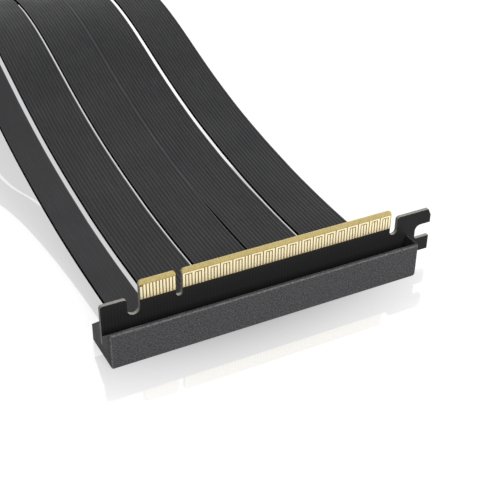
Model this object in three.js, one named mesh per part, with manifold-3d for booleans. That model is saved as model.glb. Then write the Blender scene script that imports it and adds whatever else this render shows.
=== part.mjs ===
// A ribbon riser for a x16 card slot: a card-edge end and a slot end in moulded housings,
// joined by five flat ribbon cables side by side. Millimetres, +Z up.
// The origin is the middle of the card-edge housing's underside. X runs along the card edge,
// Y from the card-edge end to the slot end. Both ends stand on the plane Z = 0.

import * as THREE from "three";
import { mergeVertices } from "three/addons/utils/BufferGeometryUtils.js";
import Module from "manifold-3d";

const wasm = await Module();
wasm.setup();

// Card-edge housing
const housingLength = 103;
const housingDepth = 15.3;
const lipHeight = 11.45;
const lipRadius = 0.8;
const lipWidth = 0.9;
const troughDepth = 3.2;
const endWall = 0.6;
const backWallHeight = 5.5;
const backSlopeTop = 10.9;
const housingCorner = 1;
const leftFootRadius = 0.8;
const rightFootRadius = 2;

// Board of the card-edge end, with its outline measured from the key notch and the underside
const boardThickness = 1.25;
const boardFrontY = -1.15;
const boardFootHeight = 4.1;
const keyX = -27.6;
const keyWidth = 1.9;
const keyBottom = 13.5;
const tongueMargin = 0.65;
const tongueTop = 22;
const tongueCorner = 1;
const bevelHeight = 1.15;
const bevelDepth = 0.32;
const tabTop = 17.1;
const tabCorner = 0.9;
const leftNotchWidth = 3.76;
const leftNotchBottom = 11.5;
const rightNotchWidth = 2.6;
const rightNotchBottom = 13.1;
const hookLength = 12.9;
const hookTop = 18.9;
const hookCorner = 1;
const hookChamferWide = 1.1;
const hookChamferHigh = 2.2;
const hookSlotDepth = 5.6;
const hookSlotTop = 13.95;
const hookSlotBottom = 9.1;
const hookSlotCorner = 1.2;

// Contact fields, for both sides of the tongue and both walls of the slot
const contactPitch = 1;
const contactWidth = 0.66;
const contactsBeforeKey = 11;
const contactsAfterKey = 71;
const firstContactFromKey = 1.5;
const contactBottom = 15.9;
const contactTop = 20.6;
const shortContactTop = 20;
const contactProud = 0.05;
const contactRoot = 0.3;
const groundBarHeight = 0.45;
// Contacts of the front side that one bar joins at their tops, first and last of each group
const groundGroups = [
  [12, 18], [20, 23], [24, 27], [28, 31], [34, 37], [38, 41], [42, 45], [46, 49],
  [51, 54], [55, 58], [59, 62], [63, 66], [67, 70], [71, 74], [75, 78], [79, 82],
];
// Shortened contacts, which sense that the card is present
const shortFront = [1];
const shortBack = [17, 31, 48, 81];

// Ribbon cables: the middle of each band across the housing
const narrowRibbon = 10.9;
const wideRibbon = 18.6;
const ribbonThickness = 0.9;
const ribbonCentres = [-38.9, -22.3, -2.7, 16.2, 35.8];
const ribbonEdge = 0.25;
const ribbonSteps = 36;
const exitHeight = 4.5;
const mouthDepth = 2.2;
const clearance = 0.3;
// The route of the ribbons as [y, z]: level out of the housing, over a long low arch, level into
// the slot end
const route = [
  [5.5, 4.5], [12, 4.5], [19, 4.5], [29, 4.7], [39, 5.1], [49, 5.8], [59, 6.7],
  [69, 8], [79, 9.4], [89, 11.1], [99, 13], [109, 15.3], [119, 17.9], [129, 20.8],
  [139, 24], [149, 27.3], [159, 30.4], [169, 33], [179, 34.9], [189, 35.9], [199, 35.8],
  [209, 34.6], [219, 32.2], [229, 28.7], [239, 24.4], [249, 19.6], [259, 14.8], [269, 10.6],
  [279, 7.4], [287, 5.4], [292, 4.7], [297, 4.5],
];

// Bare wires at both ends of each ribbon
const wireSize = 0.4;
const wirePitch = 1.34;
const wireOnBoard = 2.2;
const stubLength = 2.2;

// Slot end
const slotHousingY = 295;
const slotHousingDepth = 20;
const slotHousingHeight = 8.2;
const slotHousingEdge = 1;
const slotBoardLength = 96;
const slotBoardFront = 4.9;
const slotBoardBack = 1.9;
const slotMargin = 2.35;
const slotBack = 1.85;
const slotWidth = 7.5;
const slotHeight = 11.25;
const slotCavityWidth = 2.2;
const slotCavityDepth = 8.4;
const slotCavityPlay = 0.3;
const slotKeyWidth = 1.65;
const slotLeadIn = 0.5;
const slotContactProud = 0.25;
const slotContactFoot = 1;
const slotContactHead = 1.4;

// Places that follow from the sizes
const housingLeft = -housingLength / 2;
const housingRight = housingLength / 2;
const housingFront = -housingDepth / 2;
const housingBack = housingDepth / 2;
const boardBackY = boardFrontY + boardThickness;
const tongueLeftX =
  keyX - firstContactFromKey - (contactsBeforeKey - 1) * contactPitch - tongueMargin;
const tongueRightX =
  keyX + firstContactFromKey + (contactsAfterKey - 1) * contactPitch + tongueMargin;
const hookLeftX = tongueRightX + rightNotchWidth;
const hookRightX = hookLeftX + hookLength;
const wireBottom = exitHeight - wireSize / 2;
const slotBoardTop = wireBottom;
const slotTop = slotBoardTop + slotHeight;
const slotBoardY1 = slotHousingY + slotHousingDepth - slotBoardBack;
const slotBoardY0 = slotHousingY + slotBoardFront;
const slotMiddleY = slotBoardY1 - slotBack - slotWidth / 2;
const ribbonStart = housingBack - mouthDepth + clearance;
const ribbonEnd = slotHousingY + mouthDepth - clearance;

const darkPlastic = { color: 0x37383a, roughness: 0.62, metalness: 0 };
const blackMask = { color: 0x1b1c1e, roughness: 0.45, metalness: 0 };
const ribbonJacket = { color: 0x35373a, roughness: 0.5, metalness: 0 };
const tinnedWire = { color: 0xb9bcc0, roughness: 0.35, metalness: 0.9 };
const slotPlastic = { color: 0x141517, roughness: 0.5, metalness: 0 };

// The solid of a closed three.js geometry
function solid(geometry) {
  const bare = geometry.index ? geometry.toNonIndexed() : geometry.clone();
  bare.deleteAttribute("normal");
  bare.deleteAttribute("uv");
  const merged = mergeVertices(bare, 1e-4);
  return new wasm.Manifold(
    new wasm.Mesh({
      numProp: 3,
      vertProperties: merged.attributes.position.array,
      triVerts: new Uint32Array(merged.index.array),
    }),
  );
}

// A named mesh of a solid
function meshOf(name, body, look) {
  const made = body.getMesh();
  const geometry = new THREE.BufferGeometry();
  geometry.setAttribute("position", new THREE.BufferAttribute(made.vertProperties, 3));
  geometry.setIndex(new THREE.BufferAttribute(made.triVerts, 1));
  geometry.computeVertexNormals();
  const mesh = new THREE.Mesh(geometry, new THREE.MeshStandardMaterial(look));
  mesh.name = name;
  return mesh;
}

function box(x0, x1, y0, y1, z0, z1) {
  const geometry = new THREE.BoxGeometry(x1 - x0, y1 - y0, z1 - z0);
  geometry.translate((x0 + x1) / 2, (y0 + y1) / 2, (z0 + z1) / 2);
  return solid(geometry);
}

// A closed outline through corners [x, y, radius], with each corner rounded by an arc
function outline(corners, arcSteps = 5) {
  const points = [];
  corners.forEach(([x, y, radius = 0], i) => {
    const corner = new THREE.Vector2(x, y);
    const [px, py] = corners[(i + corners.length - 1) % corners.length];
    const [nx, ny] = corners[(i + 1) % corners.length];
    const toPrevious = new THREE.Vector2(px - x, py - y).normalize();
    const toNext = new THREE.Vector2(nx - x, ny - y).normalize();
    if (radius === 0) {
      points.push(corner);
      return;
    }
    const half = Math.acos(toPrevious.dot(toNext)) / 2;
    const bisector = toPrevious.clone().add(toNext).normalize();
    const centre = corner.clone().addScaledVector(bisector, radius / Math.sin(half));
    const from = corner.clone().addScaledVector(toPrevious, radius / Math.tan(half)).sub(centre);
    const turn = Math.PI - 2 * half;
    const side = Math.sign(toPrevious.cross(toNext));
    for (let k = 0; k <= arcSteps; k++) {
      const spoke = from.clone().rotateAround(new THREE.Vector2(), (-side * turn * k) / arcSteps);
      points.push(spoke.add(centre));
    }
  });
  const kept = points.filter(
    (p, i) => p.distanceTo(points[(i + points.length - 1) % points.length]) > 1e-3,
  );
  return new THREE.Shape(kept);
}

function extrude(shape, depth) {
  return new THREE.ExtrudeGeometry(shape, { depth, bevelEnabled: false, steps: 1 });
}

// A profile in Y and Z, run along X
function prismX(corners, x0, x1) {
  const geometry = extrude(outline(corners), x1 - x0);
  const axes = new THREE.Matrix4().makeBasis(
    new THREE.Vector3(0, 1, 0), new THREE.Vector3(0, 0, 1), new THREE.Vector3(1, 0, 0),
  );
  return solid(geometry.applyMatrix4(axes).translate(x0, 0, 0));
}

// A profile in X and Z, run along Y
function prismY(corners, y0, y1) {
  const geometry = extrude(outline(corners), y1 - y0);
  const axes = new THREE.Matrix4().makeBasis(
    new THREE.Vector3(1, 0, 0), new THREE.Vector3(0, 0, 1), new THREE.Vector3(0, -1, 0),
  );
  return solid(geometry.applyMatrix4(axes).translate(0, y1, 0));
}

// A profile in X and Y, run along Z
function prismZ(corners, z0, z1) {
  return solid(extrude(outline(corners), z1 - z0).translate(0, 0, z0));
}

function ribbonWidth(index) {
  return index === 0 ? narrowRibbon : wideRibbon;
}

// The X of a contact, counted from 1 at the end beyond the key
function contactX(number) {
  if (number <= contactsBeforeKey) {
    return keyX - firstContactFromKey - (contactsBeforeKey - number) * contactPitch;
  }
  return keyX + firstContactFromKey + (number - contactsBeforeKey - 1) * contactPitch;
}

function contactNumbers() {
  return Array.from({ length: contactsBeforeKey + contactsAfterKey }, (_, i) => i + 1);
}

// The gold fields of one side of the tongue, standing proud of the board's face
function contactFields(faceY, outward, short, groups) {
  const y0 = Math.min(faceY - outward * contactRoot, faceY + outward * contactProud);
  const y1 = Math.max(faceY - outward * contactRoot, faceY + outward * contactProud);
  const fields = contactNumbers().map((number) => {
    const x = contactX(number);
    const top = short.includes(number) ? shortContactTop : contactTop;
    return box(x - contactWidth / 2, x + contactWidth / 2, y0, y1, contactBottom, top);
  });
  const bars = groups.map(([first, last]) =>
    box(
      contactX(first) - contactWidth / 2, contactX(last) + contactWidth / 2, y0, y1,
      contactTop - groundBarHeight, contactTop,
    ),
  );
  return [...fields, ...bars];
}

function boardCorners() {
  const tabRight = tongueLeftX - leftNotchWidth;
  const keyLeft = keyX - keyWidth / 2;
  const keyRight = keyX + keyWidth / 2;
  const hookSlotX = hookRightX - hookSlotDepth;
  return [
    [housingLeft, boardFootHeight],
    [housingLeft, tabTop, tabCorner],
    [tabRight, tabTop, tabCorner],
    [tabRight, leftNotchBottom, leftNotchWidth / 2 - 0.01],
    [tongueLeftX, leftNotchBottom, leftNotchWidth / 2 - 0.01],
    [tongueLeftX, tongueTop, tongueCorner],
    [keyLeft, tongueTop, tongueCorner],
    [keyLeft, keyBottom, keyWidth / 2 - 0.01],
    [keyRight, keyBottom, keyWidth / 2 - 0.01],
    [keyRight, tongueTop, tongueCorner],
    [tongueRightX, tongueTop, tongueCorner],
    [tongueRightX, rightNotchBottom, rightNotchWidth / 2 - 0.01],
    [hookLeftX, rightNotchBottom, rightNotchWidth / 2 - 0.01],
    [hookLeftX, hookTop, hookCorner],
    [hookRightX - hookChamferWide, hookTop],
    [hookRightX, hookTop - hookChamferHigh],
    [hookRightX, hookSlotTop],
    [hookSlotX, hookSlotTop, hookSlotCorner],
    [hookSlotX, hookSlotBottom, hookSlotCorner],
    [hookRightX, hookSlotBottom],
    [hookRightX, boardFootHeight],
  ];
}

// The wedge that bevels the tip of the tongue on one side
function tipWedge(faceY, outward) {
  const beyond = 1;
  const run = bevelDepth * (1 + beyond / bevelHeight);
  const foot = tongueTop - bevelHeight;
  const corners = [
    [faceY, foot],
    [faceY - outward * run, tongueTop + beyond],
    [faceY + outward * beyond, tongueTop + beyond],
    [faceY + outward * beyond, foot],
  ];
  const ordered = outward > 0 ? corners.reverse() : corners;
  return prismX(ordered.reverse(), tongueLeftX - beyond, tongueRightX + beyond);
}

function edgeBoard() {
  let board = prismY(boardCorners().reverse(), boardFrontY, boardBackY);
  board = board.subtract(tipWedge(boardFrontY, -1)).subtract(tipWedge(boardBackY, 1));
  const fields = [
    ...contactFields(boardFrontY, -1, shortFront, groundGroups),
    ...contactFields(boardBackY, 1, shortBack, []),
  ];
  return wasm.Manifold.union([board, ...fields]);
}

// The outside of the card-edge housing, before its cuts
function edgeHousingBlock() {
  const side = prismX(
    [
      [housingFront, 0, lipRadius / 2],
      [housingBack, 0, lipRadius / 2],
      [housingBack, backWallHeight],
      [boardBackY, backSlopeTop],
      [boardBackY - boardThickness, lipHeight],
      [housingFront, lipHeight, lipRadius],
    ],
    housingLeft, housingRight,
  );
  const plan = prismZ(
    [
      [housingLeft, housingFront, housingCorner],
      [housingRight, housingFront, housingCorner],
      [housingRight, housingBack, housingCorner],
      [housingLeft, housingBack, housingCorner],
    ],
    0, lipHeight,
  );
  const front = prismY(
    [
      [housingLeft, 0, leftFootRadius],
      [housingRight, 0, rightFootRadius],
      [housingRight, lipHeight],
      [housingLeft, lipHeight],
    ],
    housingFront, housingBack,
  );
  return side.intersect(plan).intersect(front);
}

// The trough between the lip and the board, open at the left end and walled at the right
function trough() {
  const over = 1;
  return prismX(
    [
      [housingFront + lipWidth + lipRadius, lipHeight + over],
      [housingFront + lipWidth, lipHeight],
      [boardFrontY, lipHeight - troughDepth],
      [boardFrontY + over, lipHeight - troughDepth],
      [boardFrontY + over, lipHeight + over],
    ],
    housingLeft - over, housingRight - endWall,
  );
}

// The room for one ribbon's end behind the board: the mouth for the ribbon, and a chamber above
// for the wires on the board
function edgePocket(index) {
  const half = ribbonWidth(index) / 2 + clearance;
  const low = exitHeight - ribbonThickness / 2 - clearance;
  const high = exitHeight + ribbonThickness / 2 + clearance;
  const chamberBack = boardBackY + wireSize + clearance;
  const over = 1;
  return prismX(
    [
      [boardBackY - boardThickness / 2, low],
      [housingBack + over, low],
      [housingBack + over, high],
      [chamberBack, high],
      [chamberBack, wireBottom + wireOnBoard + clearance],
      [boardBackY - boardThickness / 2, wireBottom + wireOnBoard + clearance],
    ],
    ribbonCentres[index] - half, ribbonCentres[index] + half,
  );
}

function edgeHousing() {
  const over = 1;
  const boardSlot = box(
    housingLeft - over, housingRight + over, boardFrontY, boardBackY,
    boardFootHeight, lipHeight + over,
  );
  const pockets = ribbonCentres.map((_, index) => edgePocket(index));
  return edgeHousingBlock().subtract(wasm.Manifold.union([trough(), boardSlot, ...pockets]));
}

// The wires' places across one ribbon
function wirePlaces(index) {
  const room = ribbonWidth(index) - 2 * ribbonEdge - wireSize;
  const count = Math.floor(room / wirePitch) + 1;
  const first = ribbonCentres[index] - ((count - 1) * wirePitch) / 2;
  return Array.from({ length: count }, (_, i) => first + i * wirePitch);
}

function stub(index, y0, y1) {
  const half = ribbonWidth(index) / 2;
  return box(
    ribbonCentres[index] - half, ribbonCentres[index] + half, y0, y1,
    exitHeight - ribbonThickness / 2, exitHeight + ribbonThickness / 2,
  );
}

// The stripped end of a ribbon in the card-edge housing: its wires turn up the back of the board
function edgeTail(index) {
  const outer = ribbonStart - clearance;
  const inner = outer - stubLength;
  const wires = wirePlaces(index).map((x) =>
    prismX(
      [
        [boardBackY, wireBottom],
        [inner + clearance, wireBottom],
        [inner + clearance, wireBottom + wireSize],
        [boardBackY + wireSize, wireBottom + wireSize],
        [boardBackY + wireSize, wireBottom + wireOnBoard],
        [boardBackY, wireBottom + wireOnBoard],
      ],
      x - wireSize / 2, x + wireSize / 2,
    ),
  );
  return wasm.Manifold.union([stub(index, inner, outer), ...wires]);
}

// The stripped end of a ribbon in the slot housing: its wires lie on the slot's board
function slotTail(index) {
  const outer = ribbonEnd + clearance;
  const inner = outer + stubLength;
  const wires = wirePlaces(index).map((x) =>
    box(
      x - wireSize / 2, x + wireSize / 2, inner - clearance, slotBoardY0 + wireOnBoard,
      wireBottom, wireBottom + wireSize,
    ),
  );
  return wasm.Manifold.union([stub(index, outer, inner), ...wires]);
}

// One ribbon, a flat band swept along the route
function ribbon(index) {
  const half = ribbonWidth(index) / 2;
  const path = new THREE.CatmullRomCurve3(
    route.map(([y, z], i) => {
      const first = i === 0;
      const last = i === route.length - 1;
      const along = first ? ribbonStart : last ? ribbonEnd : y;
      return new THREE.Vector3(ribbonCentres[index], along, z);
    }),
    false, "centripetal",
  );
  const acrossIsNormal = Math.abs(path.computeFrenetFrames(1).normals[0].x) > 0.5;
  const thin = ribbonThickness / 2;
  const corner = Math.min(ribbonEdge, thin / 2);
  const section = [
    [-half, -thin + corner], [-half + corner, -thin], [half - corner, -thin],
    [half, -thin + corner], [half, thin - corner], [half - corner, thin],
    [-half + corner, thin], [-half, thin - corner],
  ].map(([across, up]) =>
    acrossIsNormal ? new THREE.Vector2(across, up) : new THREE.Vector2(-up, across),
  );
  const band = new THREE.ExtrudeGeometry(new THREE.Shape(section), {
    extrudePath: path, steps: ribbonSteps, bevelEnabled: false,
  });
  return solid(band);
}

function slotBoard() {
  const half = slotBoardLength / 2;
  return box(-half, half, slotBoardY0, slotBoardY1, slotBoardTop - boardThickness, slotBoardTop);
}

function slotEnds() {
  return [tongueLeftX - slotMargin, tongueRightX + slotMargin];
}

// One hollow of the slot with its sloped mouth, between two places along X
function slotCavity(x0, x1) {
  const half = slotCavityWidth / 2;
  const over = 1;
  const cavity = prismX(
    [
      [slotMiddleY - half, slotTop - slotCavityDepth],
      [slotMiddleY + half, slotTop - slotCavityDepth],
      [slotMiddleY + half, slotTop - slotLeadIn],
      [slotMiddleY + half + slotLeadIn, slotTop],
      [slotMiddleY + half + slotLeadIn, slotTop + over],
      [slotMiddleY - half - slotLeadIn, slotTop + over],
      [slotMiddleY - half - slotLeadIn, slotTop],
      [slotMiddleY - half, slotTop - slotLeadIn],
    ],
    x0, x1,
  );
  return cavity;
}

// The spring contacts along one wall of the slot, each a narrow rib in its groove
function slotContacts(outward) {
  const wall = slotMiddleY + (outward * slotCavityWidth) / 2;
  const y0 = Math.min(wall - outward * slotContactProud, wall + outward * contactRoot);
  const y1 = Math.max(wall - outward * slotContactProud, wall + outward * contactRoot);
  return contactNumbers().map((number) => {
    const x = contactX(number);
    return box(
      x - contactWidth / 2, x + contactWidth / 2, y0, y1,
      slotTop - slotCavityDepth + slotContactFoot, slotTop - slotContactHead,
    );
  });
}

function slotConnector() {
  const [x0, x1] = slotEnds();
  const half = slotWidth / 2;
  const body = box(x0, x1, slotMiddleY - half, slotMiddleY + half, slotBoardTop, slotTop);
  const hollows = [
    slotCavity(tongueLeftX - slotCavityPlay, keyX - slotKeyWidth / 2),
    slotCavity(keyX + slotKeyWidth / 2, tongueRightX + slotCavityPlay),
  ];
  const shell = body.subtract(wasm.Manifold.union(hollows));
  return wasm.Manifold.union([shell, ...slotContacts(1), ...slotContacts(-1)]);
}

// The moulded housing of the slot end, closed round its board and the foot of the slot
function slotHousing() {
  const y0 = slotHousingY;
  const y1 = slotHousingY + slotHousingDepth;
  const side = prismX(
    [
      [y0, 0, slotHousingEdge / 2],
      [y1, 0, slotHousingEdge / 2],
      [y1, slotHousingHeight, slotHousingEdge],
      [y0, slotHousingHeight, slotHousingEdge],
    ],
    housingLeft, housingRight,
  );
  const plan = prismZ(
    [
      [housingLeft, y0, housingCorner],
      [housingRight, y0, housingCorner],
      [housingRight, y1, housingCorner],
      [housingLeft, y1, housingCorner],
    ],
    0, slotHousingHeight,
  );
  const front = prismY(
    [
      [housingLeft, 0, slotHousingEdge / 2],
      [housingRight, 0, slotHousingEdge / 2],
      [housingRight, slotHousingHeight, slotHousingEdge],
      [housingLeft, slotHousingHeight, slotHousingEdge],
    ],
    y0, y1,
  );
  const over = 1;
  const half = slotBoardLength / 2;
  const [x0, x1] = slotEnds();
  const boardRoom = box(
    -half, half, slotBoardY0, slotBoardY1, slotBoardTop - boardThickness, slotBoardTop,
  );
  const slotRoom = box(
    x0, x1, slotMiddleY - slotWidth / 2, slotMiddleY + slotWidth / 2,
    slotBoardTop - boardThickness / 2, slotHousingHeight + over,
  );
  const mouths = ribbonCentres.map((centre, index) => {
    const reach = ribbonWidth(index) / 2 + clearance;
    return box(
      centre - reach, centre + reach, y0 - over, slotBoardY0 + wireOnBoard + clearance,
      exitHeight - ribbonThickness / 2 - clearance, exitHeight + ribbonThickness / 2 + clearance,
    );
  });
  const block = side.intersect(plan).intersect(front);
  return block.subtract(wasm.Manifold.union([boardRoom, slotRoom, ...mouths]));
}

const riser = new THREE.Group();
riser.name = "ribbon_riser";

const edgeEnd = new THREE.Group();
edgeEnd.add(meshOf("edge_housing", edgeHousing(), darkPlastic));
edgeEnd.add(meshOf("edge_board", edgeBoard(), blackMask));
ribbonCentres.forEach((_, index) => {
  edgeEnd.add(meshOf(`edge_wires_${index + 1}`, edgeTail(index), tinnedWire));
});
riser.add(edgeEnd);

ribbonCentres.forEach((_, index) => {
  riser.add(meshOf(`ribbon_${index + 1}`, ribbon(index), ribbonJacket));
});

const slotEnd = new THREE.Group();
slotEnd.add(meshOf("slot_housing", slotHousing(), darkPlastic));
slotEnd.add(meshOf("slot_board", slotBoard(), blackMask));
slotEnd.add(meshOf("slot_connector", slotConnector(), slotPlastic));
ribbonCentres.forEach((_, index) => {
  slotEnd.add(meshOf(`slot_wires_${index + 1}`, slotTail(index), tinnedWire));
});
riser.add(slotEnd);

export default riser;
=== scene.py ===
import math

import bmesh
import bpy
from mathutils import Matrix, Vector


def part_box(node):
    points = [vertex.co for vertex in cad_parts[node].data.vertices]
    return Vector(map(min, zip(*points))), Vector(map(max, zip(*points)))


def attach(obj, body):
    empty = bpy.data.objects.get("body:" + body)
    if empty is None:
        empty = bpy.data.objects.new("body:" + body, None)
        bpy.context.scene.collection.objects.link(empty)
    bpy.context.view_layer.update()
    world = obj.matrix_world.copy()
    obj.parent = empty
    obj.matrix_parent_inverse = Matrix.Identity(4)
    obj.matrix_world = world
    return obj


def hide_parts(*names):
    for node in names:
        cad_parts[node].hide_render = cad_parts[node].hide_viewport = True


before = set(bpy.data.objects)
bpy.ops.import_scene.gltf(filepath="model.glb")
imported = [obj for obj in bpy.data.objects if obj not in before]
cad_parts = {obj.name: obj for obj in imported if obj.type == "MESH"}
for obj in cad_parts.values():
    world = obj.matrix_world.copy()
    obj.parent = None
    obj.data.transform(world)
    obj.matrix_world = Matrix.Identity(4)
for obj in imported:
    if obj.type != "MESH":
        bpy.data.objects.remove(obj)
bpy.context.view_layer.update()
MM = 0.001
scene = bpy.context.scene

# The camera's place in metres, its view in degrees, and its lens and sensor in millimetres
CAMERA_PLACE = (-0.12144, -0.21399, 0.17873)
CAMERA_AZIMUTH = 28.02
CAMERA_ELEVATION = 32.29
CAMERA_ROLL = 0.62
CAMERA_LENS = 74.97
CAMERA_SENSOR = 36.0

# The ribbons, in millimetres, as the model has them
EXIT_Y = 5.75
END_Y = 296.9
ROUTE = [
    (EXIT_Y, 4.5), (12, 4.5), (19, 4.5), (29, 4.7), (39, 5.1), (49, 5.8), (59, 6.7), (69, 8.0),
    (79, 9.4), (89, 11.1), (99, 13.0), (109, 15.3), (119, 17.9), (129, 20.8), (139, 24.0),
    (149, 27.3), (159, 30.4), (169, 33.0), (179, 34.9), (189, 35.9), (199, 35.8), (209, 34.6),
    (219, 32.2), (229, 28.7), (239, 24.4), (249, 19.6), (259, 14.8), (269, 10.6), (279, 7.4),
    (287, 5.4), (292, 4.7), (END_Y, 4.5),
]
RIBBON_THICKNESS = 0.9
SIDE_ROUND = 0.22
EDGE_BAND = 0.16
# Across a ribbon: the plain margin beside its ridges, the shoulder between them, how far the flat
# edge dips, and the power that squares its round sides
RIDGE_MARGIN = 1.25
RIDGE_SHOULDER = 0.3
BAND_DIP = 0.015
EDGE_DIP = 0.02
SIDE_POWER = 0.7
# Along a ribbon: the length in which its free stretch sets in, and where that fades out again
FREE_ONSET = 44
FREE_FADE = 235
FREE_END = 282
# Each ribbon: its middle, shown width, number and depth of ridges, how far it drifts sideways,
# rises and rolls (in degrees) along its free stretch, and where that stretch starts
RIBBONS = [
    {
        "x": -38.8, "width": 11.1, "ridges": 7, "ridge": 0.03,
        "drift": -0.1, "rise": 0.0, "roll": 0.0, "from": 18,
    },
    {
        "x": -22.15, "width": 18.8, "ridges": 12, "ridge": 0.24,
        "drift": -0.15, "rise": 0.0, "roll": 0.0, "from": 18,
    },
    {
        "x": -2.7, "width": 18.7, "ridges": 12, "ridge": 0.24,
        "drift": -0.1, "rise": 0.15, "roll": -0.5, "from": 18,
    },
    {
        "x": 16.2, "width": 18.6, "ridges": 12, "ridge": 0.24,
        "drift": -0.45, "rise": -0.45, "roll": -2.2, "from": 36,
    },
    {
        "x": 35.8, "width": 18.9, "ridges": 12, "ridge": 0.24,
        "drift": 0.1, "rise": 0.0, "roll": 0.0, "from": 18,
    },
]

# The card-edge housing's two slopes across it, each from (y, z) to (y, z) in millimetres: the
# trough's and the back's, as the model has them and as the photograph shows them
SLOPES = [
    (((-6.75, 11.45), (-1.15, 8.25)), ((-6.55, 11.45), (-1.15, 7.25))),
    (((0.1, 10.9), (7.65, 5.5)), ((0.1, 11.7), (7.65, 5.5))),
]

# The card-edge board, in millimetres, as the model has it, but for the corners of the hook's
# slot, which follow the photograph
HOUSING_HALF = 51.5
BOARD_FRONT = -1.15
BOARD_BACK = 0.1
BOARD_FOOT = 4.1
KEY_X = -27.6
TONGUE_LEFT = KEY_X - 12.15
TONGUE_RIGHT = KEY_X + 72.15
TONGUE_TOP = 22.0
TONGUE_CORNER = 1
BEVEL_HEIGHT = 1.15
BEVEL_DEPTH = 0.32
MASK_TOP = 15.78
TAB_TOP = 17.1
TAB_CORNER = 0.9
TAB_NOTCH_WIDTH = 3.76
TAB_NOTCH_FOOT = 11.5
TAB_NOTCH_ROUND = 1.87
KEY_WIDTH = 1.9
KEY_FOOT = 13.5
KEY_ROUND = 0.94
HOOK_NOTCH_WIDTH = 2.6
HOOK_NOTCH_FOOT = 13.1
HOOK_NOTCH_ROUND = 1.29
HOOK_WIDTH = 12.9
HOOK_TOP = 18.9
HOOK_CORNER = 1
HOOK_CUT_WIDTH = 1.1
HOOK_CUT_FOOT = 16.7
HOOK_SLOT_DEPTH = 5.6
HOOK_SLOT_TOP = 13.95
HOOK_SLOT_FOOT = 9.1
HOOK_SLOT_TOP_ROUND = 1.9
HOOK_SLOT_FOOT_ROUND = 0.9
CONTACT_PITCH = 1.0
CONTACT_WIDTH = 0.66
CONTACT_CORNER = 0.12
CONTACT_BOTTOM = 15.9
CONTACT_TOP = 20.6
SHORT_CONTACT_TOP = 20.0
CONTACT_PROUD = 0.05
CONTACT_SUNK = 0.01
CONTACT_EASE = 0.02
LAMINATE_LINE = CONTACT_TOP + 0.1
BAR_HEIGHT = 0.45
BAR_GAP = 0.32
KEY_TO_CONTACT = 1.5
CONTACTS_BEFORE_KEY = 11
CONTACTS = 82
GROUND_GROUPS = [
    (12, 15, 18), (20, 23), (24, 27), (28, 31), (34, 37), (38, 41), (42, 45), (46, 49),
    (51, 54), (55, 58), (59, 62), (63, 66), (67, 70), (71, 74), (75, 78), (79, 82),
]
SHORT_FRONT = (1,)
SHORT_BACK = (17, 31, 48, 81)

# The slot's springs, in millimetres: how far below the slot's top they start, bend and end, how
# far the wall is from the slot's middle, how far they stand out of it, and the slopes at their ends
SPRING_FOOT = 7.4
SPRING_KNEE = 3.0
SPRING_HEAD = 1.35
SPRING_WALL = 1.1
SPRING_PROUD = 0.28
SPRING_BELLY = 0.12
SPRING_HALF = 0.34
SPRING_FOOT_SLOPE = 0.3
SPRING_HEAD_SLOPE = 0.4

# How wide the edges of the pieces are eased, in millimetres
EDGE_EASE = 0.28
SLOT_EASE = 0.22
BOARD_EASE = 0.09

# Where a highlight is painted on the card-edge housing's rounded front edges: in front of this Y
# in metres, where a normal's largest share is under the second value, with how fast it sets in,
# and which way they look
LIP_END = -0.0057
FLAT_NORMAL = 0.97
HIGHLIGHT_ONSET = 7.0
LOOKS_FORWARD = -0.12
LOOKS_DOWN = -0.15

# The floor's grey and glow, and its polish: how mirror-like it is in front of the object and
# behind its front, and where in metres each of them sets in, is full and ends
FLOOR_GREY = 0.28
FLOOR_GLOW = 0.86
FRONT_POLISH = 0.52
FRONT_ONSET_Y = -0.054
FRONT_FULL_Y = -0.0076
FRONT_POWER = 2.2
FRONT_MIDDLE_X = -0.005
FRONT_HALF = 0.07
BEHIND_POLISH = 0.28
BEHIND_ONSET_Y = -0.012
BEHIND_FULL_Y = 0.014

# How strongly the world lights the object, while it shows white to the camera
WORLD_LIGHT = 0.2


def make_camera():
    azimuth, elevation = math.radians(CAMERA_AZIMUTH), math.radians(CAMERA_ELEVATION)
    forward = Vector((
        math.sin(azimuth) * math.cos(elevation),
        math.cos(azimuth) * math.cos(elevation),
        -math.sin(elevation),
    ))
    level = Vector((math.cos(azimuth), -math.sin(azimuth), 0))
    upright = level.cross(forward)
    roll = math.radians(CAMERA_ROLL)
    right = math.cos(roll) * level + math.sin(roll) * upright
    up = math.cos(roll) * upright - math.sin(roll) * level
    data = bpy.data.cameras.new("camera")
    data.sensor_width = CAMERA_SENSOR
    data.lens = CAMERA_LENS
    data.clip_start = 0.01
    data.clip_end = 20
    camera = bpy.data.objects.new("camera", data)
    scene.collection.objects.link(camera)
    camera.matrix_world = Matrix((
        (right.x, up.x, -forward.x, CAMERA_PLACE[0]),
        (right.y, up.y, -forward.y, CAMERA_PLACE[1]),
        (right.z, up.z, -forward.z, CAMERA_PLACE[2]),
        (0, 0, 0, 1),
    ))
    scene.camera = camera


# Material building blocks
def new_material(name):
    material = bpy.data.materials.new(name)
    material.use_nodes = True
    nodes = material.node_tree.nodes
    shader = nodes["Principled BSDF"]
    return material, nodes, material.node_tree.links, shader


def coordinates(nodes, links, scale=(1, 1, 1)):
    """Object coordinates, stretched by a scale for each axis."""
    place = nodes.new("ShaderNodeTexCoord")
    mapping = nodes.new("ShaderNodeMapping")
    mapping.inputs["Scale"].default_value = scale
    links.new(place.outputs["Object"], mapping.inputs["Vector"])
    return mapping.outputs["Vector"]


def noise(nodes, links, vector, scale, detail=2.0, rough=0.5):
    texture = nodes.new("ShaderNodeTexNoise")
    texture.inputs["Scale"].default_value = scale
    texture.inputs["Detail"].default_value = detail
    texture.inputs["Roughness"].default_value = rough
    links.new(vector, texture.inputs["Vector"])
    return texture.outputs["Fac"]


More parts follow.
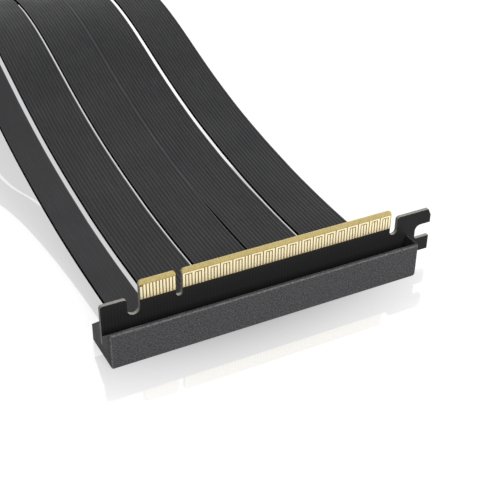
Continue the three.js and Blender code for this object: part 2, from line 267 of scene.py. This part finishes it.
def ramp(nodes, links, value, low, high, low_colour, high_colour):
    """A colour that goes from low_colour to high_colour as value goes from low to high."""
    node = nodes.new("ShaderNodeValToRGB")
    first, last = node.color_ramp.elements
    first.position, last.position = low, high
    first.color, last.color = (*low_colour, 1), (*high_colour, 1)
    links.new(value, node.inputs["Fac"])
    return node.outputs["Color"]


def spread(nodes, links, value, low, high):
    """value, which lies about one half, as a number from low to high."""
    node = nodes.new("ShaderNodeMapRange")
    node.inputs["From Min"].default_value = 0.3
    node.inputs["From Max"].default_value = 0.7
    node.inputs["To Min"].default_value = low
    node.inputs["To Max"].default_value = high
    links.new(value, node.inputs["Value"])
    return node.outputs["Result"]


def bump(nodes, links, shader, height, strength, distance):
    node = nodes.new("ShaderNodeBump")
    node.inputs["Strength"].default_value = strength
    node.inputs["Distance"].default_value = distance
    links.new(height, node.inputs["Height"])
    links.new(node.outputs["Normal"], shader.inputs["Normal"])


def arithmetic(nodes, links, operation, first, second):
    """The result of a math node on two values, each a socket or a number."""
    node = nodes.new("ShaderNodeMath")
    node.operation = operation
    for socket, value in zip(node.inputs, (first, second)):
        if isinstance(value, (int, float)):
            socket.default_value = value
        else:
            links.new(value, socket)
    return node.outputs[0]


def painted_edge_highlight(nodes, links):
    """One where a highlight is painted on the card-edge housing's rounded front edges, nought behind
    them and on flat faces.
    """
    place = nodes.new("ShaderNodeTexCoord")
    split = nodes.new("ShaderNodeSeparateXYZ")
    links.new(place.outputs["Normal"], split.inputs[0])
    x, y, z = split.outputs
    where = nodes.new("ShaderNodeSeparateXYZ")
    links.new(place.outputs["Object"], where.inputs[0])
    at_lip = arithmetic(nodes, links, "LESS_THAN", where.outputs[1], LIP_END)
    sideways = arithmetic(nodes, links, "ABSOLUTE", x, 0)
    lengthways = arithmetic(nodes, links, "ABSOLUTE", y, 0)
    largest = arithmetic(nodes, links, "MAXIMUM", sideways, z)
    largest = arithmetic(nodes, links, "MAXIMUM", largest, lengthways)
    turned = arithmetic(nodes, links, "SUBTRACT", FLAT_NORMAL, largest)
    turned = arithmetic(nodes, links, "MULTIPLY", turned, HIGHLIGHT_ONSET)
    to_front = arithmetic(nodes, links, "LESS_THAN", y, LOOKS_FORWARD)
    not_under = arithmetic(nodes, links, "GREATER_THAN", z, LOOKS_DOWN)
    chosen = arithmetic(nodes, links, "MULTIPLY", to_front, not_under)
    chosen = arithmetic(nodes, links, "MULTIPLY", chosen, at_lip)
    mask = nodes.new("ShaderNodeClamp")
    links.new(arithmetic(nodes, links, "MULTIPLY", turned, chosen), mask.inputs["Value"])
    return mask.outputs[0]


def moulded_plastic(name, dark, light, grain, depth, rough_low, rough_high, edge=None):
    """Plastic with a spark-eroded grain, and, given edge colours, a painted highlight on its rounded
    front edges.
    """
    material, nodes, links, shader = new_material(name)
    place = coordinates(nodes, links)
    fine = noise(nodes, links, place, grain, 2.0, 0.6)
    broad = noise(nodes, links, place, 90, 2.0)
    colour = ramp(nodes, links, fine, 0.3, 0.7, dark, light)
    # with edge colours, a painted highlight, lighter than the grain, on the rounded front edges
    if edge:
        mix = nodes.new("ShaderNodeMix")
        mix.data_type = "RGBA"
        links.new(painted_edge_highlight(nodes, links), mix.inputs[0])
        links.new(colour, mix.inputs[6])
        links.new(ramp(nodes, links, fine, 0.35, 0.65, *edge), mix.inputs[7])
        colour = mix.outputs[2]
    links.new(colour, shader.inputs["Base Color"])
    links.new(spread(nodes, links, broad, rough_low, rough_high), shader.inputs["Roughness"])
    shader.inputs["Specular IOR Level"].default_value = 0.06
    bump(nodes, links, shader, fine, 0.7, depth)
    return material


def ribbon_jacket(name, dark, light, rough_low, rough_high, gloss):
    """A satin jacket with fine marks drawn out along the ribbon."""
    material, nodes, links, shader = new_material(name)
    along = coordinates(nodes, links, (1, 0.02, 0.3))
    streaks = noise(nodes, links, along, 1800, 2.0)
    place = coordinates(nodes, links)
    broad = noise(nodes, links, place, 60, 3.0)
    links.new(ramp(nodes, links, streaks, 0.3, 0.7, dark, light), shader.inputs["Base Color"])
    links.new(spread(nodes, links, broad, rough_low, rough_high), shader.inputs["Roughness"])
    shader.inputs["Specular IOR Level"].default_value = gloss
    bump(nodes, links, shader, streaks, 0.25, 0.00003)
    return material


def solder_mask():
    """Near-black mask with traces faintly raised under it."""
    material, nodes, links, shader = new_material("solder_mask")
    across = coordinates(nodes, links, (1, 0.001, 0.03))
    traces = nodes.new("ShaderNodeTexWave")
    traces.wave_type = "BANDS"
    traces.bands_direction = "X"
    traces.inputs["Scale"].default_value = 318
    traces.inputs["Distortion"].default_value = 0.6
    traces.inputs["Detail"].default_value = 1.0
    links.new(across, traces.inputs["Vector"])
    dust = noise(nodes, links, coordinates(nodes, links), 2500, 2.0)
    dark, light = (0.018, 0.018, 0.0185), (0.022, 0.022, 0.023)
    colour = ramp(nodes, links, traces.outputs["Fac"], 0.2, 0.8, dark, light)
    links.new(colour, shader.inputs["Base Color"])
    shader.inputs["Specular IOR Level"].default_value = 0.07
    links.new(spread(nodes, links, dust, 0.38, 0.5), shader.inputs["Roughness"])
    bump(nodes, links, shader, traces.outputs["Fac"], 0.06, 0.00003)
    return material


def laminate(name, dark, light, rough):
    """Bare glass-fibre laminate."""
    material, nodes, links, shader = new_material(name)
    fibres = noise(nodes, links, coordinates(nodes, links, (1, 1, 0.35)), 2200, 4.0, 0.65)
    links.new(ramp(nodes, links, fibres, 0.3, 0.7, dark, light), shader.inputs["Base Color"])
    shader.inputs["Roughness"].default_value = rough
    bump(nodes, links, shader, fibres, 0.4, 0.00003)
    return material


def plated_metal(name, dark, light, rough_low, rough_high):
    material, nodes, links, shader = new_material(name)
    fine = noise(nodes, links, coordinates(nodes, links, (1, 1, 0.15)), 1500, 3.0)
    links.new(ramp(nodes, links, fine, 0.3, 0.7, dark, light), shader.inputs["Base Color"])
    shader.inputs["Metallic"].default_value = 1.0
    links.new(spread(nodes, links, fine, rough_low, rough_high), shader.inputs["Roughness"])
    bump(nodes, links, shader, fine, 0.15, 0.00002)
    return material


# The housing's second pair of colours is a painted highlight on its rounded front edges
HOUSING = moulded_plastic(
    "housing_plastic", (0.032, 0.032, 0.034), (0.120, 0.120, 0.124), 2100, 0.0001, 0.5, 0.62,
    ((0.10, 0.10, 0.103), (0.21, 0.21, 0.215)),
)
SLOT_PLASTIC = moulded_plastic(
    "slot_plastic", (0.012, 0.012, 0.013), (0.018, 0.018, 0.020), 2600, 0.00002, 0.36, 0.46,
)
JACKET = ribbon_jacket(
    "ribbon_jacket", (0.011, 0.011, 0.0118), (0.021, 0.021, 0.0226), 0.40, 0.52, 0.26,
)
SMOOTH_JACKET = ribbon_jacket(
    "smooth_jacket", (0.0135, 0.0135, 0.0148), (0.018, 0.018, 0.0198), 0.42, 0.52, 0.26,
)
# The ribbons' side faces are near black and without gloss: painted shade on their thickness
SHADED_JACKET_SIDE = ribbon_jacket(
    "shaded_jacket_side", (0.0015, 0.0015, 0.0015), (0.003, 0.003, 0.003), 0.9, 1.0, 0.0,
)
# The ribbons' right top edges are lighter: a painted highlight
JACKET_RIM_HIGHLIGHT = ribbon_jacket(
    "jacket_rim_highlight", (0.045, 0.045, 0.047), (0.065, 0.065, 0.068), 0.5, 0.6, 0.2,
)
MASK = solder_mask()
TONGUE = laminate("tongue_laminate", (0.45, 0.355, 0.125), (0.64, 0.51, 0.21), 0.45)
BETWEEN = laminate("laminate_between", (0.17, 0.11, 0.028), (0.27, 0.18, 0.05), 0.5)
ROUTED = laminate("routed_edge", (0.22, 0.21, 0.19), (0.34, 0.325, 0.29), 0.7)
GOLD = plated_metal("gold_contact", (1.0, 0.86, 0.52), (1.0, 0.93, 0.68), 0.2, 0.34)
TINNED = plated_metal("tinned_wire", (0.50, 0.51, 0.53), (0.70, 0.71, 0.72), 0.28, 0.42)


# Mesh building blocks
def add_piece(name, mesh_data, material):
    """A piece of the object on the only body, with its material."""
    piece = bpy.data.objects.new(name, mesh_data)
    scene.collection.objects.link(piece)
    if material is not None:
        piece.data.materials.append(material)
    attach(piece, "root")
    return piece


def finish_mesh(bm, name, smooth_angle=35):
    """A mesh from bm that is smooth, apart from edges that turn more than smooth_angle."""
    bmesh.ops.recalc_face_normals(bm, faces=bm.faces)
    for face in bm.faces:
        face.smooth = True
    for edge in bm.edges:
        turned = len(edge.link_faces) == 2 and edge.calc_face_angle(0) > math.radians(smooth_angle)
        edge.smooth = not turned
    data = bpy.data.meshes.new(name)
    bm.to_mesh(data)
    bm.free()
    return data


def smooth_step(value, start, end):
    share = min(1.0, max(0.0, (value - start) / (end - start)))
    return share * share * (3 - 2 * share)


def route_points(count):
    """count points evenly along the route as (y, z), on a smooth curve through its points."""
    ys = [p[0] for p in ROUTE]
    zs = [p[1] for p in ROUTE]
    slopes = [0.0]
    for i in range(1, len(ROUTE) - 1):
        before = (zs[i] - zs[i - 1]) / (ys[i] - ys[i - 1])
        after = (zs[i + 1] - zs[i]) / (ys[i + 1] - ys[i])
        slopes.append((before + after) / 2)
    slopes.append(0.0)
    points = []
    segment = 0
    for k in range(count):
        y = ys[0] + (ys[-1] - ys[0]) * k / (count - 1)
        while segment < len(ROUTE) - 2 and y > ys[segment + 1]:
            segment += 1
        wide = ys[segment + 1] - ys[segment]
        t = (y - ys[segment]) / wide
        z = (
            (2 * t**3 - 3 * t**2 + 1) * zs[segment]
            + (t**3 - 2 * t**2 + t) * wide * slopes[segment]
            + (3 * t**2 - 2 * t**3) * zs[segment + 1]
            + (t**3 - t**2) * wide * slopes[segment + 1]
        )
        points.append((y, z))
    return points


def ribbon_section(ribbon):
    """The closed outline across a ribbon as (across, up), with its ridges on both faces.

    The second value is the number of points on one face, the third that on one side.
    """
    half = ribbon["width"] / 2
    thin = RIBBON_THICKNESS / 2
    flat = half - SIDE_ROUND
    ridged = half - RIDGE_MARGIN
    per_ridge = 6
    steps = ribbon["ridges"] * per_ridge
    edge, band = thin - EDGE_DIP, thin - BAND_DIP
    face = [(-flat, edge), (EDGE_BAND - flat, band), (-ridged - RIDGE_SHOULDER, thin)]
    for k in range(steps + 1):
        across = -ridged + 2 * ridged * k / steps
        phase = (k % per_ridge) / per_ridge * 2 - 1
        crown = math.sqrt(max(0.0, 1 - phase * phase)) if k % per_ridge else 0.0
        face.append((across, thin - ribbon["ridge"] * (1 - crown)))
    face += [(ridged + RIDGE_SHOULDER, thin), (flat - EDGE_BAND, band), (flat, edge)]
    side_steps = 8
    side = []
    for k in range(1, side_steps):
        angle = math.pi / 2 - math.pi * k / side_steps
        upright = math.copysign(abs(math.sin(angle)) ** SIDE_POWER, math.sin(angle))
        side.append((flat + SIDE_ROUND * abs(math.cos(angle)) ** SIDE_POWER, edge * upright))
    under = [(across, -up) for across, up in reversed(face)]
    far_side = [(-across, up) for across, up in reversed(side)]
    return face + side + under + far_side, len(face), len(side)


def make_ribbon(index, ribbon, stations=150):
    line = route_points(stations)
    section, face_points, side_points = ribbon_section(ribbon)
    bm = bmesh.new()
    rings = []
    for k, (y, z) in enumerate(line):
        before, after = line[max(0, k - 1)], line[min(stations - 1, k + 1)]
        along = Vector((0, after[0] - before[0], after[1] - before[1])).normalized()
        begun = smooth_step(y, ribbon["from"], ribbon["from"] + FREE_ONSET)
        free = begun * (1 - smooth_step(y, FREE_FADE, FREE_END))
        roll = math.radians(ribbon["roll"]) * free
        up = Vector((0, -along.z, along.y))
        side = Vector((1, 0, 0))
        across = side * math.cos(roll) - up * math.sin(roll)
        out = up * math.cos(roll) + side * math.sin(roll)
        centre = Vector((ribbon["x"] + ribbon["drift"] * free, y, z)) + up * ribbon["rise"] * free
        rings.append([bm.verts.new((centre + across * a + out * u) * MM) for a, u in section])
    # The side faces take the near-black side material: painted shade
    sides = set()
    for start in (face_points - 1, 2 * face_points + side_points - 1):
        sides.update((start + k) % len(section) for k in range(side_points + 1))
    sides.add(0)
    # The right top edge takes the lighter rim material: a painted highlight
    highlit_rim = {face_points - 2, face_points - 1, face_points, face_points + 1}
    for ring, following in zip(rings, rings[1:]):
        for i in range(len(section)):
            j = (i + 1) % len(section)
            band = bm.faces.new((ring[i], ring[j], following[j], following[i]))
            band.material_index = 2 if i in highlit_rim else 1 if i in sides else 0
    bm.faces.new(list(reversed(rings[0])))
    bm.faces.new(rings[-1])
    material = SMOOTH_JACKET if index == 0 else JACKET
    name = f"ribbon_band_{index + 1}"
    piece = add_piece(name, finish_mesh(bm, name, 60), material)
    piece.data.materials.append(SHADED_JACKET_SIDE)
    piece.data.materials.append(JACKET_RIM_HIGHLIGHT)
    node = f"ribbon_{index + 1}"
    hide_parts(node)
    return piece


def rounded_outline(corners, arc_steps=6):
    """A closed outline through corners (x, z, radius), with each corner rounded by an arc."""
    points = []
    for i, (x, z, radius) in enumerate(corners):
        corner = Vector((x, z))
        previous = Vector(corners[i - 1][:2])
        following = Vector(corners[(i + 1) % len(corners)][:2])
        if radius == 0:
            points.append(corner)
            continue
        to_previous = (previous - corner).normalized()
        to_next = (following - corner).normalized()
        half = math.acos(max(-1.0, min(1.0, to_previous.dot(to_next)))) / 2
        centre = corner + (to_previous + to_next).normalized() * radius / math.sin(half)
        start = corner + to_previous * radius / math.tan(half) - centre
        turn = math.pi - 2 * half
        sign = 1 if to_previous.cross(to_next) < 0 else -1
        for k in range(arc_steps + 1):
            angle = sign * turn * k / arc_steps
            spoke = Vector((
                start.x * math.cos(angle) - start.y * math.sin(angle),
                start.x * math.sin(angle) + start.y * math.cos(angle),
            ))
            points.append(centre + spoke)
    return [p for i, p in enumerate(points) if (p - points[i - 1]).length > 0.001]


def board_corners():
    """The board's outline as (x, z, radius), from its left foot over the tab, tongue and hook."""
    tab_right = TONGUE_LEFT - TAB_NOTCH_WIDTH
    key_left, key_right = KEY_X - KEY_WIDTH / 2, KEY_X + KEY_WIDTH / 2
    hook_left = TONGUE_RIGHT + HOOK_NOTCH_WIDTH
    hook_right = hook_left + HOOK_WIDTH
    slot_x = hook_right - HOOK_SLOT_DEPTH
    return [
        (-HOUSING_HALF, BOARD_FOOT, 0),
        (-HOUSING_HALF, TAB_TOP, TAB_CORNER),
        (tab_right, TAB_TOP, TAB_CORNER),
        (tab_right, TAB_NOTCH_FOOT, TAB_NOTCH_ROUND),
        (TONGUE_LEFT, TAB_NOTCH_FOOT, TAB_NOTCH_ROUND),
        (TONGUE_LEFT, TONGUE_TOP, TONGUE_CORNER),
        (key_left, TONGUE_TOP, TONGUE_CORNER),
        (key_left, KEY_FOOT, KEY_ROUND),
        (key_right, KEY_FOOT, KEY_ROUND),
        (key_right, TONGUE_TOP, TONGUE_CORNER),
        (TONGUE_RIGHT, TONGUE_TOP, TONGUE_CORNER),
        (TONGUE_RIGHT, HOOK_NOTCH_FOOT, HOOK_NOTCH_ROUND),
        (hook_left, HOOK_NOTCH_FOOT, HOOK_NOTCH_ROUND),
        (hook_left, HOOK_TOP, HOOK_CORNER),
        (hook_right - HOOK_CUT_WIDTH, HOOK_TOP, 0),
        (hook_right, HOOK_CUT_FOOT, 0),
        (hook_right, HOOK_SLOT_TOP, 0),
        (slot_x, HOOK_SLOT_TOP, HOOK_SLOT_TOP_ROUND),
        (slot_x, HOOK_SLOT_FOOT, HOOK_SLOT_FOOT_ROUND),
        (hook_right, HOOK_SLOT_FOOT, 0),
        (hook_right, BOARD_FOOT, 0),
    ]


def in_tongue(x):
    slack = 0.1
    return TONGUE_LEFT - slack < x < TONGUE_RIGHT + slack


def make_board():
    """The card-edge board with its bevelled tip, bare laminate tongue and routed edges."""
    bm = bmesh.new()
    outline = rounded_outline(board_corners())
    face = bm.faces.new([bm.verts.new((p.x, BOARD_FRONT, p.y)) for p in outline])
    made = bmesh.ops.extrude_face_region(bm, geom=[face])["geom"]
    moved = [v for v in made if isinstance(v, bmesh.types.BMVert)]
    bmesh.ops.translate(bm, verts=moved, vec=(0, BOARD_BACK - BOARD_FRONT, 0))
    bevel_foot = TONGUE_TOP - BEVEL_HEIGHT
    for height in (MASK_TOP, LAMINATE_LINE, bevel_foot):
        everything = list(bm.verts) + list(bm.edges) + list(bm.faces)
        bmesh.ops.bisect_plane(bm, geom=everything, plane_co=(0, 0, height), plane_no=(0, 0, 1))
    middle = (BOARD_FRONT + BOARD_BACK) / 2
    for vert in bm.verts:
        rise = (vert.co.z - bevel_foot) / BEVEL_HEIGHT
        if rise > 0.001:
            vert.co.y += math.copysign(BEVEL_DEPTH * rise, middle - vert.co.y)
    bmesh.ops.recalc_face_normals(bm, faces=bm.faces)
    for face in bm.faces:
        centre = face.calc_center_median()
        tongue = in_tongue(centre.x) and centre.z > MASK_TOP
        if abs(face.normal.y) > 0.3:
            face.material_index = (3 if centre.z < CONTACT_TOP else 1) if tongue else 0
        else:
            face.material_index = 1 if tongue and centre.z > bevel_foot else 2
    bmesh.ops.scale(bm, vec=(MM, MM, MM), verts=bm.verts)
    data = finish_mesh(bm, "board_blank", 30)
    piece = add_piece("board_blank", data, MASK)
    piece.data.materials.append(TONGUE)
    piece.data.materials.append(ROUTED)
    piece.data.materials.append(BETWEEN)
    edges = piece.modifiers.new("eased_edges", "BEVEL")
    edges.width = BOARD_EASE * MM
    edges.segments = 2
    edges.limit_method = "ANGLE"
    edges.angle_limit = math.radians(40)
    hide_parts("edge_board")
    return piece


def contact_x(number):
    """The middle of a contact, counted from the tab's side and placed from the key notch."""
    if number <= CONTACTS_BEFORE_KEY:
        return KEY_X - KEY_TO_CONTACT - (CONTACTS_BEFORE_KEY - number) * CONTACT_PITCH
    return KEY_X + KEY_TO_CONTACT + (number - CONTACTS_BEFORE_KEY - 1) * CONTACT_PITCH


def add_plate(bm, corners, face_y, outward):
    """A thin plate on the board's face: an outline in X and Z, with eased upper edges."""
    rings = []
    for lift in (-CONTACT_SUNK, CONTACT_PROUD):
        y = (face_y + outward * lift) * MM
        rings.append([bm.verts.new((x * MM, y, z * MM)) for x, z in corners])
    top = bm.faces.new(rings[1])
    bm.faces.new(list(reversed(rings[0])))
    for i in range(len(corners)):
        j = (i + 1) % len(corners)
        bm.faces.new((rings[0][i], rings[0][j], rings[1][j], rings[1][i]))
    bmesh.ops.bevel(
        bm, geom=list(top.edges), offset=CONTACT_EASE * MM, segments=1, affect="EDGES", profile=0.5,
    )


def field_corners(x, low, high):
    """A contact's outline, its two lower corners cut a little."""
    half, cut = CONTACT_WIDTH / 2, CONTACT_CORNER
    return [
        (x - half + cut, low), (x + half - cut, low), (x + half, low + cut),
        (x + half, high), (x - half, high), (x - half, low + cut),
    ]


def joined_corners(numbers):
    """The outline of contacts that a bar joins at their tops."""
    half, cut = CONTACT_WIDTH / 2, CONTACT_CORNER
    under = CONTACT_TOP - BAR_HEIGHT
    corners = []
    for i, number in enumerate(numbers):
        x = contact_x(number)
        if i:
            corners.append((x - half, under))
        corners += [
            (x - half, CONTACT_BOTTOM + cut), (x - half + cut, CONTACT_BOTTOM),
            (x + half - cut, CONTACT_BOTTOM), (x + half, CONTACT_BOTTOM + cut),
        ]
        if i < len(numbers) - 1:
            corners.append((x + half, under))
    corners += [
        (contact_x(numbers[-1]) + half, CONTACT_TOP), (contact_x(numbers[0]) - half, CONTACT_TOP),
    ]
    return corners


def make_contacts(name, face_y, outward, short, groups):
    bm = bmesh.new()
    joined = {number for group in groups for number in group}
    for group in groups:
        add_plate(bm, joined_corners(group), face_y, outward)
    for number in range(1, CONTACTS + 1):
        if number in joined:
            continue
        inner = any(group[0] < number < group[-1] for group in groups)
        top = SHORT_CONTACT_TOP if number in short else CONTACT_TOP
        if inner:
            top = CONTACT_TOP - BAR_HEIGHT - BAR_GAP
        add_plate(bm, field_corners(contact_x(number), CONTACT_BOTTOM, top), face_y, outward)
    return add_piece(name, finish_mesh(bm, name, 25), GOLD)


def on_shown_slope(vert):
    """Moves a point of the card-edge housing that lies on one of its slopes to the shown slope."""
    past_end, off_slope = 0.005, 0.02
    y, z = vert.co.y / MM, vert.co.z / MM
    for ((y0, z0), (y1, z1)), ((shown_y0, shown_z0), (shown_y1, shown_z1)) in SLOPES:
        share = (y - y0) / (y1 - y0)
        on_line = abs(z0 + share * (z1 - z0) - z) < off_slope
        if on_line and -past_end < share < 1 + past_end:
            vert.co.y = (shown_y0 + share * (shown_y1 - shown_y0)) * MM
            vert.co.z = (shown_z0 + share * (shown_z1 - shown_z0)) * MM
            return


def dressed(node, name, material, ease, segments=2, sharp=30, move=None):
    """A piece made from a CAD node's own mesh, with its flat faces whole and its edges eased."""
    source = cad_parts[node]
    bm = bmesh.new()
    bm.from_mesh(source.data)
    bmesh.ops.remove_doubles(bm, verts=bm.verts, dist=0.000002)
    for vert in bm.verts:
        if move:
            move(vert)
    bmesh.ops.dissolve_limit(
        bm, angle_limit=math.radians(1), verts=bm.verts, edges=bm.edges, use_dissolve_boundaries=False,
    )
    data = finish_mesh(bm, name, sharp)
    piece = add_piece(name, data, material)
    if ease:
        edges = piece.modifiers.new("eased_edges", "BEVEL")
        edges.width = ease * MM
        edges.segments = segments
        edges.limit_method = "ANGLE"
        edges.angle_limit = math.radians(sharp)
    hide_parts(node)
    return piece


def make_slot_contacts():
    """The gold springs on both walls of the slot, over the ribs that carry them."""
    low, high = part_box("slot_connector")
    middle = (low[1] + high[1]) / 2
    foot = high[2] - SPRING_FOOT * MM
    knee = high[2] - SPRING_KNEE * MM
    head = high[2] - SPRING_HEAD * MM
    half = SPRING_HALF * MM
    bm = bmesh.new()
    for number in range(1, CONTACTS + 1):
        x = contact_x(number) * MM
        for outward in (1, -1):
            back = middle + outward * SPRING_WALL * MM
            front = middle + outward * (SPRING_WALL - SPRING_PROUD) * MM
            belly = front - outward * SPRING_BELLY * MM
            profile = [
                (back, foot),
                (front, foot + SPRING_FOOT_SLOPE * MM),
                (belly, knee),
                (front, head - SPRING_HEAD_SLOPE * MM),
                (back, head),
            ]
            sides = [[bm.verts.new((x + s * half, y, z)) for y, z in profile] for s in (-1, 1)]
            bm.faces.new(sides[0])
            bm.faces.new(list(reversed(sides[1])))
            for i in range(len(profile)):
                j = (i + 1) % len(profile)
                bm.faces.new((sides[0][i], sides[0][j], sides[1][j], sides[1][i]))
    return add_piece("slot_springs", finish_mesh(bm, "slot_springs", 30), GOLD)


def seen_directly(nodes, links):
    """One for rays from the camera, reflections and clear pieces, nought for those that light."""
    path = nodes.new("ShaderNodeLightPath")
    camera, glossy = path.outputs["Is Camera Ray"], path.outputs["Is Glossy Ray"]
    first = arithmetic(nodes, links, "MAXIMUM", camera, glossy)
    return arithmetic(nodes, links, "MAXIMUM", first, path.outputs["Is Transmission Ray"])


def floor_polish(nodes, links):
    """How mirror-like the floor is: it fades out in front of the object and stays behind it."""
    place = nodes.new("ShaderNodeTexCoord")
    split = nodes.new("ShaderNodeSeparateXYZ")
    links.new(place.outputs["Object"], split.inputs[0])
    x, y, _ = split.outputs
    ahead = nodes.new("ShaderNodeMapRange")
    ahead.inputs["From Min"].default_value = FRONT_ONSET_Y
    ahead.inputs["From Max"].default_value = FRONT_FULL_Y
    links.new(y, ahead.inputs["Value"])
    near = arithmetic(nodes, links, "POWER", ahead.outputs["Result"], FRONT_POWER)
    aside = arithmetic(nodes, links, "SUBTRACT", x, FRONT_MIDDLE_X)
    aside = arithmetic(nodes, links, "DIVIDE", aside, FRONT_HALF)
    aside = arithmetic(nodes, links, "POWER", aside, 2.0)
    middle = arithmetic(nodes, links, "SUBTRACT", 1.0, aside)
    middle = arithmetic(nodes, links, "MAXIMUM", middle, 0.0)
    before = arithmetic(nodes, links, "LESS_THAN", y, 0.0)
    front = arithmetic(nodes, links, "MULTIPLY", middle, near)
    front = arithmetic(nodes, links, "MULTIPLY", front, FRONT_POLISH)
    front = arithmetic(nodes, links, "MULTIPLY", front, before)
    behind = nodes.new("ShaderNodeMapRange")
    behind.inputs["From Min"].default_value = BEHIND_ONSET_Y
    behind.inputs["From Max"].default_value = BEHIND_FULL_Y
    behind.inputs["To Max"].default_value = BEHIND_POLISH
    links.new(y, behind.inputs["Value"])
    return arithmetic(nodes, links, "MAXIMUM", front, behind.outputs["Result"])


def make_floor():
    """A pale polished floor, which shows white to the camera but keeps the object's shadow."""
    bm = bmesh.new()
    bmesh.ops.create_grid(bm, x_segments=1, y_segments=1, size=4)
    data = bpy.data.meshes.new("floor")
    bm.to_mesh(data)
    bm.free()
    floor = bpy.data.objects.new("floor", data)
    scene.collection.objects.link(floor)
    floor.location.z = -0.00005
    material, nodes, links, shader = new_material("pale_floor")
    shader.inputs["Base Color"].default_value = (FLOOR_GREY, FLOOR_GREY, FLOOR_GREY, 1)
    shader.inputs["Roughness"].default_value = 0.9
    shader.inputs["Specular IOR Level"].default_value = 0.0
    shader.inputs["Emission Color"].default_value = (1, 1, 1, 1)
    glow = arithmetic(nodes, links, "MULTIPLY", seen_directly(nodes, links), FLOOR_GLOW)
    links.new(glow, shader.inputs["Emission Strength"])
    mirror = nodes.new("ShaderNodeBsdfGlossy")
    mirror.inputs["Roughness"].default_value = 0.03
    mix = nodes.new("ShaderNodeMixShader")
    links.new(floor_polish(nodes, links), mix.inputs[0])
    links.new(shader.outputs[0], mix.inputs[1])
    links.new(mirror.outputs[0], mix.inputs[2])
    links.new(mix.outputs[0], nodes["Material Output"].inputs["Surface"])
    floor.data.materials.append(material)


def make_world():
    """White to the camera and in reflections, and a plain soft light on everything else."""
    world = bpy.data.worlds.new("studio")
    scene.world = world
    world.use_nodes = True
    nodes, links = world.node_tree.nodes, world.node_tree.links
    nodes.clear()
    out = nodes.new("ShaderNodeOutputWorld")
    seen = nodes.new("ShaderNodeBackground")
    lighting = nodes.new("ShaderNodeBackground")
    seen.inputs["Color"].default_value = (1, 1, 1, 1)
    seen.inputs["Strength"].default_value = 1.0
    lighting.inputs["Color"].default_value = (1, 1, 1, 1)
    lighting.inputs["Strength"].default_value = WORLD_LIGHT
    mix = nodes.new("ShaderNodeMixShader")
    links.new(seen_directly(nodes, links), mix.inputs["Fac"])
    links.new(lighting.outputs[0], mix.inputs[1])
    links.new(seen.outputs[0], mix.inputs[2])
    links.new(mix.outputs[0], out.inputs["Surface"])


def add_light(name, place, target, size, energy):
    data = bpy.data.lights.new(name, "AREA")
    data.shape = "DISK"
    data.size = size
    data.energy = energy
    light = bpy.data.objects.new(name, data)
    scene.collection.objects.link(light)
    light.location = place
    aim = Vector(target) - Vector(place)
    light.rotation_euler = aim.to_track_quat("-Z", "Y").to_euler()
    light.visible_glossy = False


make_camera()
for index, ribbon in enumerate(RIBBONS):
    make_ribbon(index, ribbon)

dressed("edge_housing", "edge_shell", HOUSING, EDGE_EASE, 3, move=on_shown_slope)
make_board()
make_contacts("contacts_front", BOARD_FRONT, -1, SHORT_FRONT, GROUND_GROUPS)
make_contacts("contacts_back", BOARD_BACK, 1, SHORT_BACK, [])
dressed("slot_housing", "slot_shell", HOUSING, SLOT_EASE, 3)
dressed("slot_connector", "slot_body", SLOT_PLASTIC, 0)
make_slot_contacts()
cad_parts["slot_board"].data.materials.clear()
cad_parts["slot_board"].data.materials.append(MASK)
for end in ("edge", "slot"):
    for index in range(len(RIBBONS)):
        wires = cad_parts[f"{end}_wires_{index + 1}"]
        wires.data.materials.clear()
        wires.data.materials.append(TINNED)

make_floor()
make_world()
add_light("key", place=(0.4, 0.95, 0.7), target=(0.0, 0.08, 0.0), size=0.6, energy=14.0)
add_light("front", place=(0.12, -0.9, 0.55), target=(0.0, 0.0, 0.0), size=0.7, energy=9.5)
scene.view_settings.view_transform = "Standard"
